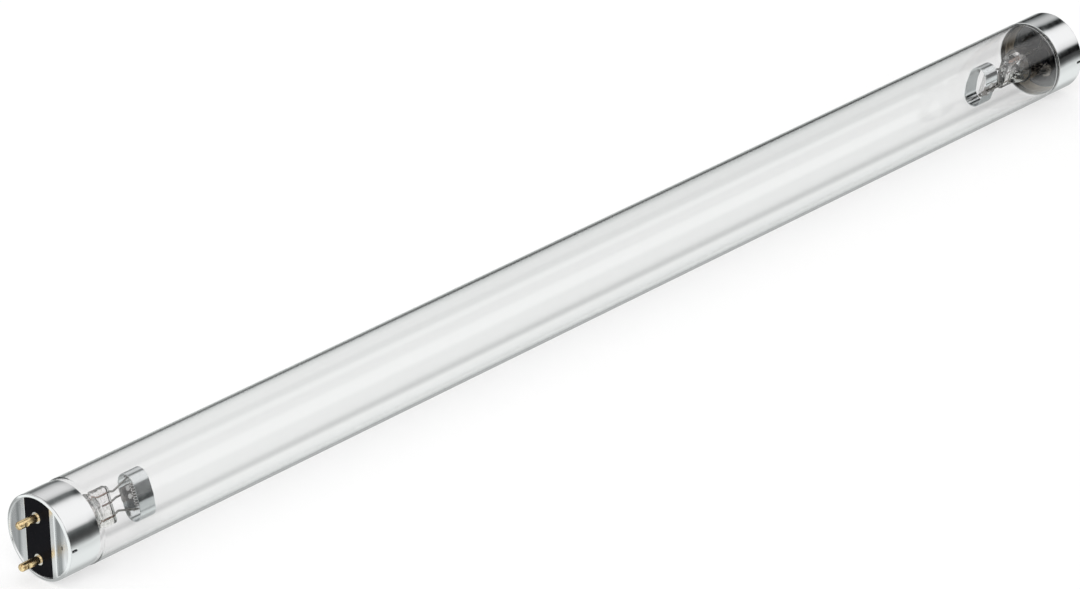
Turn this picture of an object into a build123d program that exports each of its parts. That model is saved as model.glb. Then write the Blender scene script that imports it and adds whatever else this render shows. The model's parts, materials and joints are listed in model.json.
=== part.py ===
from build123d import *
import os

# A double-ended germicidal lamp: a clear glass tube with a two-pin cap, a glass stem
# and a shielded filament at each end. All sizes are in millimetres.
# X runs along the lamp, Z along the line of each pair of pins, and the origin is the
# lamp's centre. Depths are measured inwards from the face of a cap.

# Whole lamp
lamp_length = 437.4
tube_diameter = 25.5
glass_wall = 0.8

# Necked end of the glass, under the cap
glass_end_depth = 4.8
neck_gap = 0.35
neck_corner_radius = 2.9
shoulder_cover = 0.4
shoulder_length = 1.7
shoulder_radius = 1.6
seam_inset = 3.0

# Cap shell
cap_step = 0.1
skirt_length = 11.1
cap_wall = 0.3
rim_corner_radius = 0.4
rim_width = 0.5
rim_slope = 0.3
dish_depth = 0.45
crimp_length = 2.2
crimp_taper = 0.12
lip_width = 1.0
lip_height = 0.4
stake_width = 0.5
stake_length = 2.1
stake_inset = 0.6
stake_depth = 0.2
face_stake_inset = 2.45
face_stake_length = 1.2
face_stake_width = 0.5

# Cap insulator
bar_width = 9.8
bar_end_gap = 0.05
bar_slot_gap = 0.05
bar_edge_radius = 0.25
disc_thickness = 1.5
disc_gap = 0.1

# Contact pins
pin_spacing = 12.7
pin_diameter = 2.35
pin_length = 7.1
pin_tip_radius = 0.8
pin_collar_diameter = 3.3
pin_collar_thickness = 0.35
pin_shank_diameter = 1.9
pin_hole_gap = 0.02
rivet_head_diameter = 3.3
rivet_head_thickness = 0.4
pin_bore_diameter = 0.9
crimp_distance = 4.4
crimp_dent_radius = 1.3
crimp_dent_depth = 0.3
crimp_bore_closure = 0.3

# Capping cement
cement_setback = 0.8
cement_length = 3.0

# Stem and press
mount_turn = 18
stem_diameter = 11.0
flare_rim_width = 0.5
flattening_length = 4.0
press_top_depth = 25.9
press_length = 4.4
press_width = 10.8
press_thickness = 3.2
press_corner_radius = 1.0
press_top_radius = 0.6
hollow_end_length = 1.8
hollow_end_width = 7.2
hollow_end_thickness = 3.0
hollow_end_corner_radius = 1.0
exhaust_diameter = 4.4
exhaust_wall = 0.7
exhaust_tip_gap = 1.05
exhaust_tip_wall = 0.8
# The rounding of the exhaust tube's closed end, as a share of its radius
exhaust_tip_rounding = 0.9
exhaust_hole_diameter = 1.4
exhaust_hole_setback = 1.1

# Wires
lead_diameter = 0.6
lead_spacing = 6.8
lead_bend_radius = 0.9
lead_end_gap = 0.05
lead_outer_bend_gap = 0.85
lead_straight_end = 0.5
lead_pinch_length = 2.1
lead_pinch_in = 0.6
hook_spread = 9.8
hook_tail = 0.9
# The radius of a hook's bends, as a share of the space that they have
hook_bend_rounding = 0.98
seal_gap = 0.01
support_diameter = 0.6
support_offset = 0.5
support_embed = 3.2
support_bend_radius = 1.5
support_rise = 1.3
support_end_setback = 1.4

# Filament
filament_height = 8.8
coil_end_gap = 0.9
coil_turns = 10
coil_diameter = 1.0
filament_wire_diameter = 0.24
elbow_growth = 0.03
hook_gap = 0.02

# Cathode shield
shield_setback = 2.1
shield_strip_width = 5.6
shield_thickness = 0.25
shield_width = 6.6
shield_end_room = 2.2
shield_offset_across = -0.2
shield_offset_up = -0.8
shield_lap_up = -0.25
shield_overlap = 3.6
shield_lap_gap = 0.03
shield_step_length = 0.6
weld_diameter = 1.0
weld_inset = 0.6
weld_dent = 0.08
weld_gap = 0.02

# Sizes that follow from the ones above
tube_radius = tube_diameter / 2
cap_radius = tube_radius - cap_step
cap_inner_radius = cap_radius - cap_wall
neck_radius = cap_inner_radius - neck_gap
seam_radius = neck_radius - seam_inset
shoulder_depth = skirt_length - shoulder_cover
cement_start_depth = glass_end_depth + cement_setback
rim_inner_radius = cap_radius - rim_corner_radius - rim_width
dish_radius = rim_inner_radius - rim_slope
bar_end_radius = dish_radius - bar_end_gap
disc_front_depth = dish_depth + cap_wall
insulator_back_depth = disc_front_depth + disc_thickness
rivet_head_depth = insulator_back_depth + rivet_head_thickness
pin_bore_reach = crimp_distance - crimp_bore_closure
stem_radius = stem_diameter / 2
stem_bore_radius = stem_radius - glass_wall
flare_radius = seam_radius - stem_bore_radius - flare_rim_width
exhaust_tip_depth = insulator_back_depth + exhaust_tip_gap
press_start_depth = press_top_depth - press_length
tube_end_depth = press_start_depth - flattening_length
lead_radius = lead_diameter / 2
lead_outer_bend_depth = rivet_head_depth + lead_outer_bend_gap
lead_entry_depth = glass_end_depth + flare_radius
filament_depth = press_top_depth + filament_height
filament_wire_radius = filament_wire_diameter / 2
elbow_radius = filament_wire_radius + elbow_growth
coil_radius = coil_diameter / 2
coil_length = hook_spread - 2 * coil_end_gap
tail_across = lead_radius + filament_wire_radius + hook_gap
shield_near_depth = filament_depth - shield_setback
shield_length = hook_spread + 2 * shield_end_room
weld_spacing = shield_overlap - 2 * weld_inset
shield_wall_across = (shield_width - shield_thickness) / 2
shield_lap_step = shield_thickness + shield_lap_gap

os.makedirs("parts", exist_ok=True)


def end_plane(side):
    """The plane of one cap's face: its normal points into the lamp and its Y is the lamp's Z."""
    inwards = 1 if side == "left" else -1
    return Plane(
        origin=(-inwards * lamp_length / 2, 0, 0),
        x_dir=(0, inwards, 0),
        z_dir=(inwards, 0, 0),
    )


def mount_plane(side):
    """The face's plane turned about the lamp's axis, as the glass mount is turned in the tube."""
    face = end_plane(side)
    return Plane(
        origin=face.origin,
        x_dir=face.x_dir.rotate(Axis(face.origin, face.z_dir), -mount_turn),
        z_dir=face.z_dir,
    )


def axial_plane(face, across=0, up=0):
    """The plane of a turned profile, with X running inwards and Y away from the turning axis."""
    origin = face.from_local_coords(Vector(across, up, 0))
    return Plane(origin=origin, x_dir=face.z_dir, z_dir=-face.x_dir)


def turning_axis(face, across=0, up=0):
    """The axis parallel to the lamp's own, through a point of the face."""
    return Axis(face.from_local_coords(Vector(across, up, 0)), face.z_dir)


def make_glass_tube():
    """The envelope: one blown tube whose two ends are necked and turned in to the stems."""
    end_x = -lamp_length / 2 + glass_end_depth
    shoulder_x = -lamp_length / 2 + shoulder_depth
    with BuildPart() as glass_tube:
        with BuildSketch(Plane.XZ):
            with BuildLine():
                outer = FilletPolyline(
                    (end_x, seam_radius),
                    (end_x, neck_radius),
                    (shoulder_x, neck_radius),
                    (shoulder_x + shoulder_length, tube_radius),
                    (0, tube_radius),
                    radius=(neck_corner_radius, shoulder_radius, shoulder_radius),
                )
                offset(outer, amount=glass_wall, side=Side.RIGHT)
            make_face()
            mirror(about=Plane.YZ)
        revolve(axis=Axis.X)
    glass_tube.part.label = "glass_tube"
    export_step(glass_tube.part, "parts/glass_tube.step")


def bar_outline(radius, width):
    """The insulating bar's outline: a band across the face with round ends."""
    Rectangle(width, 2 * cap_radius)
    Circle(radius, mode=Mode.INTERSECT)


def make_cap_shell(side):
    """The drawn aluminium cup: rim, dished face, slot with a raised lip, skirt and stake marks."""
    face = end_plane(side)
    with BuildPart() as cap_shell:
        with BuildSketch(axial_plane(face)):
            with BuildLine():
                outer = FilletPolyline(
                    (dish_depth, 0),
                    (dish_depth, dish_radius),
                    (0, rim_inner_radius),
                    (0, cap_radius),
                    (skirt_length - crimp_length, cap_radius),
                    (skirt_length, cap_radius - crimp_taper),
                    radius=(cap_wall / 2, cap_wall / 2, rim_corner_radius, crimp_length / 2),
                )
                offset(outer, amount=cap_wall, side=Side.RIGHT)
            make_face()
        revolve(axis=turning_axis(face))
        with BuildSketch(face.offset(dish_depth)):
            bar_outline(rim_inner_radius, bar_width + 2 * lip_width)
        extrude(amount=-lip_height)
        with BuildSketch(face.offset(disc_front_depth)):
            bar_outline(bar_end_radius + bar_end_gap, bar_width + 2 * bar_slot_gap)
        extrude(amount=-disc_front_depth, mode=Mode.SUBTRACT)
        stake_middle = stake_inset + stake_length / 2
        for across in (-1, 1):
            flank = Plane(
                origin=face.from_local_coords(Vector(across * cap_radius, 0, stake_middle)),
                x_dir=face.z_dir,
                z_dir=face.x_dir * across,
            )
            with BuildSketch(flank):
                SlotOverall(stake_length, stake_width)
            extrude(amount=-stake_depth, mode=Mode.SUBTRACT)
            with BuildSketch(face.offset(dish_depth)):
                with Locations((across * (dish_radius - face_stake_inset), 0)):
                    SlotOverall(face_stake_length, face_stake_width, rotation=90)
            extrude(amount=stake_depth, mode=Mode.SUBTRACT)
    cap_shell.part.label = f"{side}_cap_shell"
    export_step(cap_shell.part, f"parts/{side}_cap_shell.step")


def make_cap_insulator(side):
    """The black moulding: a disc behind the shell's face and a bar that fills its slot."""
    face = end_plane(side)
    with BuildPart() as cap_insulator:
        with BuildSketch(face.offset(disc_front_depth)):
            Circle(cap_inner_radius - disc_gap)
        extrude(amount=disc_thickness)
        with BuildSketch(face):
            bar_outline(bar_end_radius, bar_width)
        extrude(amount=disc_front_depth)
        front_edges = cap_insulator.faces().sort_by(Axis(face.origin, face.z_dir))[0].edges()
        fillet(front_edges, radius=bar_edge_radius)
        with BuildSketch(face):
            with GridLocations(0, pin_spacing, 1, 2):
                Circle(pin_shank_diameter / 2 + pin_hole_gap)
        extrude(amount=insulator_back_depth, mode=Mode.SUBTRACT)
    cap_insulator.part.label = f"{side}_cap_insulator"
    export_step(cap_insulator.part, f"parts/{side}_cap_insulator.step")


def make_contact_pin(side, level, up):
    """A brass pin, riveted through the insulator, drilled for its lead wire and crimped on it."""
    face = end_plane(side)
    pin_radius = pin_diameter / 2
    shank_radius = pin_shank_diameter / 2
    bore_radius = pin_bore_diameter / 2
    collar_radius = pin_collar_diameter / 2
    head_radius = rivet_head_diameter / 2
    with BuildPart() as contact_pin:
        with BuildSketch(axial_plane(face, up=up)):
            with BuildLine():
                FilletPolyline(
                    (-pin_length, 0),
                    (-pin_length, pin_radius),
                    (-pin_collar_thickness, pin_radius),
                    radius=pin_tip_radius,
                )
                Polyline(
                    (-pin_collar_thickness, pin_radius),
                    (-pin_collar_thickness, collar_radius),
                    (0, collar_radius),
                    (0, shank_radius),
                    (insulator_back_depth, shank_radius),
                    (insulator_back_depth, head_radius),
                    (rivet_head_depth, head_radius),
                    (rivet_head_depth, bore_radius),
                    (-pin_bore_reach, bore_radius),
                    (-pin_bore_reach, 0),
                    (-pin_length, 0),
                )
            make_face()
        revolve(axis=turning_axis(face, up=up))
        for across in (-1, 1):
            dent_centre = across * (pin_radius + crimp_dent_radius - crimp_dent_depth)
            dent_plane = Plane(
                origin=face.from_local_coords(
                    Vector(dent_centre, up, -crimp_distance)
                ),
                x_dir=face.x_dir,
                z_dir=face.y_dir,
            )
            with BuildSketch(dent_plane):
                Circle(crimp_dent_radius)
            extrude(amount=pin_radius, both=True, mode=Mode.SUBTRACT)
    contact_pin.part.label = f"{side}_contact_pin_{level}"
    export_step(contact_pin.part, f"parts/{side}_contact_pin_{level}.step")


def make_capping_cement(side):
    """The ring of cement that fills the gap between the cap's skirt and the glass neck."""
    face = end_plane(side)
    with BuildPart() as capping_cement:
        with BuildSketch(axial_plane(face)):
            with Locations((cement_start_depth, seam_radius)):
                Rectangle(
                    cement_length,
                    cap_inner_radius - seam_radius,
                    align=(Align.MIN, Align.MIN),
                )
            with BuildLine():
                FilletPolyline(
                    (glass_end_depth, 0),
                    (glass_end_depth, neck_radius),
                    (shoulder_depth + shoulder_length, neck_radius),
                    radius=neck_corner_radius,
                )
                Polyline(
                    (shoulder_depth + shoulder_length, neck_radius),
                    (shoulder_depth + shoulder_length, 0),
                    (glass_end_depth, 0),
                )
            make_face(mode=Mode.SUBTRACT)
        revolve(axis=turning_axis(face))
    capping_cement.part.label = f"{side}_capping_cement"
    export_step(capping_cement.part, f"parts/{side}_capping_cement.step")


def make_stem(side):
    """The glass stem: flare, tube and press, with the sealed exhaust tube inside it."""
    mount = mount_plane(side)
    exhaust_radius = exhaust_diameter / 2
    exhaust_bore_radius = exhaust_radius - exhaust_wall
    hole_depth = press_start_depth - exhaust_hole_setback
    bore_start = exhaust_tip_depth + exhaust_tip_wall
    bore_end = hole_depth + exhaust_bore_radius
    with BuildPart() as stem:
        with BuildSketch(axial_plane(mount)):
            with BuildLine():
                bore_line = FilletPolyline(
                    (glass_end_depth, seam_radius),
                    (glass_end_depth, stem_bore_radius),
                    (tube_end_depth, stem_bore_radius),
                    radius=flare_radius,
                )
                offset(bore_line, amount=glass_wall, side=Side.LEFT)
            make_face()
        revolve(axis=turning_axis(mount))
        # The tube flattens into the press, and its bore closes in the same way.
        with BuildSketch(mount.offset(tube_end_depth)):
            Circle(stem_radius)
        with BuildSketch(mount.offset(press_start_depth)):
            RectangleRounded(press_thickness, press_width, press_corner_radius)
        loft()
        with BuildSketch(mount.offset(press_start_depth)):
            RectangleRounded(press_thickness, press_width, press_corner_radius)
        extrude(amount=press_length)
        press_top = stem.faces().sort_by(Axis(mount.origin, mount.z_dir))[-1]
        fillet(press_top.edges(), radius=press_top_radius)
        with BuildSketch(mount.offset(tube_end_depth)):
            Circle(stem_bore_radius)
        with BuildSketch(mount.offset(tube_end_depth + hollow_end_length)):
            RectangleRounded(
                hollow_end_thickness, hollow_end_width, hollow_end_corner_radius
            )
        loft(mode=Mode.SUBTRACT)
        with BuildSketch(axial_plane(mount)):
            with BuildLine():
                FilletPolyline(
                    (exhaust_tip_depth, 0),
                    (exhaust_tip_depth, exhaust_radius),
                    (hole_depth, exhaust_radius),
                    radius=exhaust_radius * exhaust_tip_rounding,
                )
                Polyline(
                    (hole_depth, exhaust_radius),
                    (hole_depth, 0),
                    (exhaust_tip_depth, 0),
                )
            make_face()
        revolve(axis=turning_axis(mount))
        with BuildSketch(axial_plane(mount)):
            with BuildLine():
                FilletPolyline(
                    (bore_start, 0),
                    (bore_start, exhaust_bore_radius),
                    (bore_end, exhaust_bore_radius),
                    (bore_end, 0),
                    radius=exhaust_bore_radius * exhaust_tip_rounding,
                )
                Line((bore_end, 0), (bore_start, 0))
            make_face()
        revolve(axis=turning_axis(mount), mode=Mode.SUBTRACT)
        hole_plane = Plane(
            origin=mount.from_local_coords(Vector(0, 0, hole_depth)),
            x_dir=mount.z_dir,
            z_dir=mount.x_dir,
        )
        with BuildSketch(hole_plane):
            Circle(exhaust_hole_diameter / 2)
        extrude(amount=stem_radius, mode=Mode.SUBTRACT)
        # Channels that the three sealed wires fill
        with BuildSketch(mount.offset(press_top_depth)):
            with GridLocations(0, lead_spacing, 1, 2):
                Circle(lead_radius + seal_gap)
        extrude(amount=tube_end_depth - press_top_depth, mode=Mode.SUBTRACT)
        with BuildSketch(mount.offset(press_top_depth)):
            with Locations((0, support_offset)):
                Circle(support_diameter / 2 + seal_gap)
        extrude(amount=-support_embed, mode=Mode.SUBTRACT)
    stem.part.label = f"{side}_stem"
    export_step(stem.part, f"parts/{side}_stem.step")


def make_lead_wire(side, level, way):
    """One lead: from the pin's bore, through the press, to the hook on the filament's tail."""
    face = end_plane(side)
    mount = mount_plane(side)
    sealed_up = way * lead_spacing / 2
    pinch_up = sealed_up - way * lead_pinch_in
    hook_up = way * hook_spread / 2
    hook_turn_across = 2 * tail_across
    hook_far_depth = filament_depth + tail_across
    hook_bend_radius = tail_across * hook_bend_rounding
    bend_depth = press_top_depth + lead_straight_end
    route = [
        face.from_local_coords(Vector(0, way * pin_spacing / 2, lead_end_gap - pin_bore_reach)),
        face.from_local_coords(Vector(0, way * pin_spacing / 2, lead_outer_bend_depth)),
        mount.from_local_coords(Vector(0, sealed_up, lead_entry_depth)),
        mount.from_local_coords(Vector(0, sealed_up, bend_depth)),
        mount.from_local_coords(Vector(0, pinch_up, press_top_depth + lead_pinch_length)),
        mount.from_local_coords(Vector(0, hook_up, hook_far_depth)),
        mount.from_local_coords(Vector(hook_turn_across, hook_up, hook_far_depth)),
        mount.from_local_coords(Vector(hook_turn_across, hook_up, filament_depth - hook_tail)),
    ]
    with BuildPart() as lead_wire:
        with BuildLine() as path:
            FilletPolyline(
                *route,
                radius=[lead_bend_radius] * 4 + [hook_bend_radius] * 2,
            )
        with BuildSketch(Plane(origin=path.line @ 0, z_dir=path.line % 0)):
            Circle(lead_radius)
        sweep()
    lead_wire.part.label = f"{side}_lead_wire_{level}"
    export_step(lead_wire.part, f"parts/{side}_lead_wire_{level}.step")


def make_filament(side):
    """The coiled tungsten filament with a straight tail at each end for the hooks."""
    mount = mount_plane(side)
    tail_reach = hook_spread / 2 + lead_diameter
    coil_plane = Plane(
        origin=mount.from_local_coords(Vector(tail_across - coil_radius, 0, filament_depth)),
        x_dir=mount.x_dir,
        z_dir=mount.y_dir,
    )
    with BuildPart() as filament:
        with BuildLine():
            helix = Helix(
                coil_length / coil_turns,
                coil_length,
                coil_radius,
                center=coil_plane.offset(-coil_length / 2).origin,
                direction=coil_plane.z_dir,
            )
        with BuildSketch(Plane(origin=helix @ 0, z_dir=helix % 0)):
            Circle(filament_wire_radius)
        sweep(path=helix, is_frenet=True)
        # A small bead rounds the elbow between the coil and each tail.
        with Locations(helix @ 0, helix @ 1):
            Sphere(elbow_radius)
        for end in (0, 1):
            with BuildSketch(Plane(helix @ end, z_dir=coil_plane.z_dir * (2 * end - 1))):
                Circle(filament_wire_radius)
            extrude(amount=tail_reach - coil_length / 2)
    filament.part.label = f"{side}_filament"
    export_step(filament.part, f"parts/{side}_filament.step")


def make_cathode_shield(side):
    """The cathode shield: one strip bent round the filament, its ends lapped and welded."""
    mount = mount_plane(side)
    wall = shield_wall_across
    back = shield_offset_across + wall
    front = shield_offset_across - wall
    straight = (shield_length - shield_thickness) / 2 - wall
    top_arc = shield_offset_up + straight
    low_arc = shield_offset_up - straight
    top_lap = shield_lap_up + shield_overlap / 2
    low_lap = shield_lap_up - shield_overlap / 2
    inner_face = back - shield_thickness / 2
    weld_length = shield_lap_step + shield_thickness
    weld_depth = shield_near_depth + shield_strip_width / 2
    with BuildPart() as cathode_shield:
        with BuildSketch(mount.offset(shield_near_depth)):
            with BuildLine():
                Line((back, top_lap), (back, low_arc))
                RadiusArc((back, low_arc), (front, low_arc), wall)
                Line((front, low_arc), (front, top_arc))
                RadiusArc((front, top_arc), (back, top_arc), wall)
                Polyline(
                    (back, top_arc),
                    (back, top_lap + 2 * shield_step_length),
                    (back + shield_lap_step, top_lap + shield_step_length),
                    (back + shield_lap_step, low_lap),
                )
            trace(line_width=shield_thickness)
        extrude(amount=shield_strip_width)
        # Two spot welds join the lapped ends, and each leaves a shallow dent on both faces.
        for across, amount, mode in (
            (inner_face, weld_length, Mode.ADD),
            (inner_face, weld_dent, Mode.SUBTRACT),
            (inner_face + weld_length, -weld_dent, Mode.SUBTRACT),
        ):
            weld_plane = Plane(
                origin=mount.from_local_coords(Vector(across, shield_lap_up, weld_depth)),
                x_dir=mount.z_dir,
                z_dir=mount.x_dir,
            )
            with BuildSketch(weld_plane):
                with GridLocations(0, weld_spacing, 1, 2):
                    Circle(weld_diameter / 2)
            extrude(amount=amount, mode=mode)
    cathode_shield.part.label = f"{side}_cathode_shield"
    export_step(cathode_shield.part, f"parts/{side}_cathode_shield.step")


def make_shield_support(side):
    """The third wire of the press, which carries the shield on its back."""
    mount = mount_plane(side)
    back_across = (
        shield_offset_across
        + shield_wall_across
        + shield_lap_step
        + shield_thickness / 2
        + support_diameter / 2
        + weld_gap
    )
    weld_end_depth = shield_near_depth + shield_strip_width - support_end_setback
    route = [
        mount.from_local_coords(Vector(0, support_offset, press_top_depth - support_embed)),
        mount.from_local_coords(Vector(0, support_offset, press_top_depth + support_rise)),
        mount.from_local_coords(
            Vector(back_across, shield_lap_up, shield_near_depth - support_rise)
        ),
        mount.from_local_coords(Vector(back_across, shield_lap_up, weld_end_depth)),
    ]
    with BuildPart() as shield_support:
        with BuildLine() as path:
            FilletPolyline(*route, radius=support_bend_radius)
        with BuildSketch(Plane(origin=path.line @ 0, z_dir=path.line % 0)):
            Circle(support_diameter / 2)
        sweep()
    shield_support.part.label = f"{side}_shield_support"
    export_step(shield_support.part, f"parts/{side}_shield_support.step")


make_glass_tube()
for side in ("left", "right"):
    make_cap_shell(side)
    make_cap_insulator(side)
    make_capping_cement(side)
    make_stem(side)
    make_filament(side)
    make_cathode_shield(side)
    make_shield_support(side)
    for level, way in (("upper", 1), ("lower", -1)):
        make_contact_pin(side, level, way * pin_spacing / 2)
        make_lead_wire(side, level, way)
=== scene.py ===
"""Dresses a double-ended germicidal lamp and sets it on a pale floor in soft studio light.

X runs along the lamp, Z along the line of each pair of pins, and the origin is the lamp's
centre. Lengths are in metres unless a docstring says millimetres.
"""

import json
import logging
import math
from dataclasses import dataclass
from enum import Enum

import bmesh
import bpy
from mathutils import Matrix, Vector

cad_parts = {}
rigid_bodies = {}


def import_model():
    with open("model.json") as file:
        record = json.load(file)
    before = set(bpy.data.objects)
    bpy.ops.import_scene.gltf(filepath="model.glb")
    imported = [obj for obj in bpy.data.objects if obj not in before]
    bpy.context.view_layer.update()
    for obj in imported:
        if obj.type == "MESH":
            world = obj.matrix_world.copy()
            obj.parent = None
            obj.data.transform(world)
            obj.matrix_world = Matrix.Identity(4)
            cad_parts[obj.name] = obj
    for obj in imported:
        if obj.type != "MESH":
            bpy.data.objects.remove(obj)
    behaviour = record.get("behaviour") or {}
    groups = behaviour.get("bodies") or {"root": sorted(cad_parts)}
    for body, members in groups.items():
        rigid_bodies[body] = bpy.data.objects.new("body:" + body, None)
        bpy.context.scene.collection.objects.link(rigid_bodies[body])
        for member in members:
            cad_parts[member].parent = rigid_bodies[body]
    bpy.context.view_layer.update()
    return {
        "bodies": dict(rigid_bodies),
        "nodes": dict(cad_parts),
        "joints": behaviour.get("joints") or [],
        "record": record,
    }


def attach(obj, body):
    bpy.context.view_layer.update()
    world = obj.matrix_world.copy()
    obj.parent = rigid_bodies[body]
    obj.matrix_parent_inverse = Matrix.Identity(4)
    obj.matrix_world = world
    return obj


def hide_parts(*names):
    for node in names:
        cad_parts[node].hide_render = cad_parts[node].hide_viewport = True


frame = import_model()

log = logging.getLogger("lamp")

Color = tuple[float, float, float]
Stop = tuple[float, float]
Ramp = tuple[Stop, Stop]
Corner = tuple[float, float, float]
Node = bpy.types.Node
Socket = bpy.types.NodeSocket
Shape = bmesh.types.BMesh
Parts = list[bmesh.types.BMVert] | list[bmesh.types.BMEdge]

MM = 0.001
BODY = "root"
HALF_LENGTH = 0.2187
TUBE_RADIUS = 0.01275
# How far both mounts are turned about the lamp's axis, in degrees.
MOUNT_TURN = 18.0
WELD = "weld"
WHITE = (1.0, 1.0, 1.0)
# A ray's count of bounces is past this once it has bounced.
BOUNCED = 0.5
# How near each other, in millimetres, places count as the same, and points are merged.
TOUCH = 1e-3
MERGE = 1e-5


class Side(Enum):
    """One end of the lamp, with how far it is turned about Z in radians."""

    LEFT = 0.0
    RIGHT = math.pi

    @property
    def word(self) -> str:
        """The first word of this end's node names."""
        return self.name.lower()

    def frame(self, turn: float = 0.0) -> Matrix:
        """Places what this end holds, which is drawn as depth, across and up in millimetres.

        Args:
            turn: How far it is turned about the lamp's axis, in degrees.

        Returns:
            What takes it to the lamp's own frame.
        """
        end = Matrix.Rotation(self.value, 4, "Z") @ Matrix.Translation((-HALF_LENGTH, 0, 0))
        return end @ Matrix.Scale(MM, 4) @ Matrix.Rotation(-math.radians(turn), 4, "X")


@dataclass(frozen=True)
class Grain:
    """A noise pattern.

    Attributes:
        scale: How many of its cells fit in a metre.
        detail: How many finer layers it has.
        roughness: How strong the finer layers are.
    """

    scale: float
    detail: float = 2.0
    roughness: float = 0.5


class ShaderGraph:
    """A node tree, with short calls that add and join its nodes."""

    def __init__(self, tree: bpy.types.NodeTree) -> None:
        """Empties the tree, which is a material's or the world's."""
        tree.nodes.clear()
        self.tree = tree

    def add(
        self, kind: str, inputs: dict[str | int, Socket | float | Color] | None = None, **settings: object
    ) -> Node:
        """Adds one node.

        Args:
            kind: The node's type, without its ShaderNode prefix.
            inputs: What its inputs get, by their names or numbers.
            settings: Properties of the node.

        Returns:
            The new node.
        """
        node = self.tree.nodes.new(f"ShaderNode{kind}")
        for name, value in settings.items():
            setattr(node, name, value)
        for name, value in (inputs or {}).items():
            if isinstance(value, Socket):
                self.tree.links.new(value, node.inputs[name])
            else:
                node.inputs[name].default_value = (*value, 1.0) if isinstance(value, tuple) else value
        return node

    def shader(self, kind: str, **values: Socket | float | Color) -> Node:
        """Adds a shader whose inputs are named with underscores."""
        return self.add(kind, {name.replace("_", " "): value for name, value in values.items()})

    def math(self, operation: str, *values: Socket | float) -> Socket:
        """Works out one operation on one or two values."""
        return self.add("Math", dict(enumerate(values)), operation=operation).outputs[0]

    def product(self, value: Socket, *factors: Socket | float) -> Socket:
        """Multiplies a value.

        Args:
            value: The value.
            factors: What it is multiplied by, in order.

        Returns:
            The product.
        """
        for factor in factors:
            value = self.math("MULTIPLY", value, factor)
        return value

    def vector(self, *parts: Socket | float) -> Socket:
        """Joins X, Y and Z into a vector."""
        return self.add("CombineXYZ", dict(enumerate(parts))).outputs[0]

    def axes(self, name: str = "Object") -> tuple[Socket, list[Socket]]:
        """Returns the coordinates of one kind, whole and as X, Y and Z."""
        place = self.add("TexCoord").outputs[name]
        return place, list(self.add("SeparateXYZ", {0: place}).outputs)

    def noise(self, place: Socket, grain: Grain) -> Socket:
        """Returns the level of a noise pattern that follows the given coordinates."""
        shares = {"Scale": grain.scale, "Detail": grain.detail, "Roughness": grain.roughness}
        return self.add("TexNoise", {"Vector": place} | shares).outputs["Fac"]

    def spread(self, value: Socket, start: Stop, end: Stop, smooth: bool = False) -> Socket:
        """Maps a value from one range to another and holds it at the ends.

        Args:
            value: The value to map.
            start: An input and the output that it gives.
            end: Another input and its output.
            smooth: Whether the change eases in and out.

        Returns:
            The mapped value.
        """
        lowest = {"From Min": start[0], "To Min": start[1]}
        highest = {"From Max": end[0], "To Max": end[1]}
        kind = "SMOOTHSTEP" if smooth else "LINEAR"
        node = self.add("MapRange", {"Value": value} | lowest | highest, interpolation_type=kind)
        return node.outputs["Result"]

    def amount(self, value: Socket, given: Ramp | float) -> Socket | float:
        """Returns an amount that is fixed, or that follows a value."""
        return given if isinstance(given, float) else self.spread(value, *given)

    def levels(self, value: Socket, stops: tuple[Stop, ...]) -> Socket:
        """Turns a value into a grey by way of measured levels.

        Args:
            value: The value to read.
            stops: Inputs, in order, with the levels that they give.

        Returns:
            The grey.
        """
        low, high = stops[0][0], stops[-1][0]
        node = self.add("ValToRGB", {"Fac": self.spread(value, (low, 0.0), (high, 1.0))})
        elements = node.color_ramp.elements
        while len(elements) < len(stops):
            elements.new(1.0)
        for element, (place, level) in zip(elements, stops):
            element.position = (place - low) / (high - low)
            element.color = (level, level, level, 1.0)
        return node.outputs["Color"]

    def blend(self, share: Socket, first: Socket | Color, second: Socket | Color) -> Socket:
        """Mixes two colours, of which the second shows where the share is 1."""
        return self.add("Mix", {"Factor": share, 6: first, 7: second}, data_type="RGBA").outputs[2]

    def mixed(self, share: Socket | float, first: Node, second: Node) -> Node:
        """Mixes two shaders, of which the second shows where the share is 1."""
        return self.add("MixShader", {0: share, 1: first.outputs[0], 2: second.outputs[0]})

    def relief(self, height: Socket, depth: float, strength: float = 1.0) -> Socket:
        """Returns the normal of a surface that a pattern raises by up to a depth in metres."""
        inputs = {"Strength": strength, "Distance": depth, "Height": height}
        return self.add("Bump", inputs).outputs["Normal"]

    def depth_from_face(self, along: Socket) -> Socket:
        """Returns how far inside the nearer cap face a point lies, in metres."""
        return self.math("SUBTRACT", HALF_LENGTH, self.math("ABSOLUTE", along))

    def radius(self, across: Socket, up: Socket) -> Socket:
        """Returns how far a point lies from the lamp's axis."""
        square = self.math("ADD", self.product(across, across), self.product(up, up))
        return self.math("SQRT", square)

    def bounced(self, kind: str) -> Socket:
        """Returns 1 for a ray that has bounced in one way: Glossy, Diffuse or Transmission."""
        count = self.add("LightPath").outputs[f"{kind} Depth"]
        return self.math("GREATER_THAN", count, BOUNCED)

    def by_ray(self, direct: Node, mirror: Node, scatter: Node) -> Node:
        """Picks a shader by the kind of ray.

        Args:
            direct: What the camera sees, also through glass.
            mirror: What reflections show.
            scatter: What lights matt surfaces.

        Returns:
            The mixing node.
        """
        seen = self.mixed(self.bounced("Glossy"), direct, mirror)
        return self.mixed(self.bounced("Diffuse"), seen, scatter)


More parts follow.
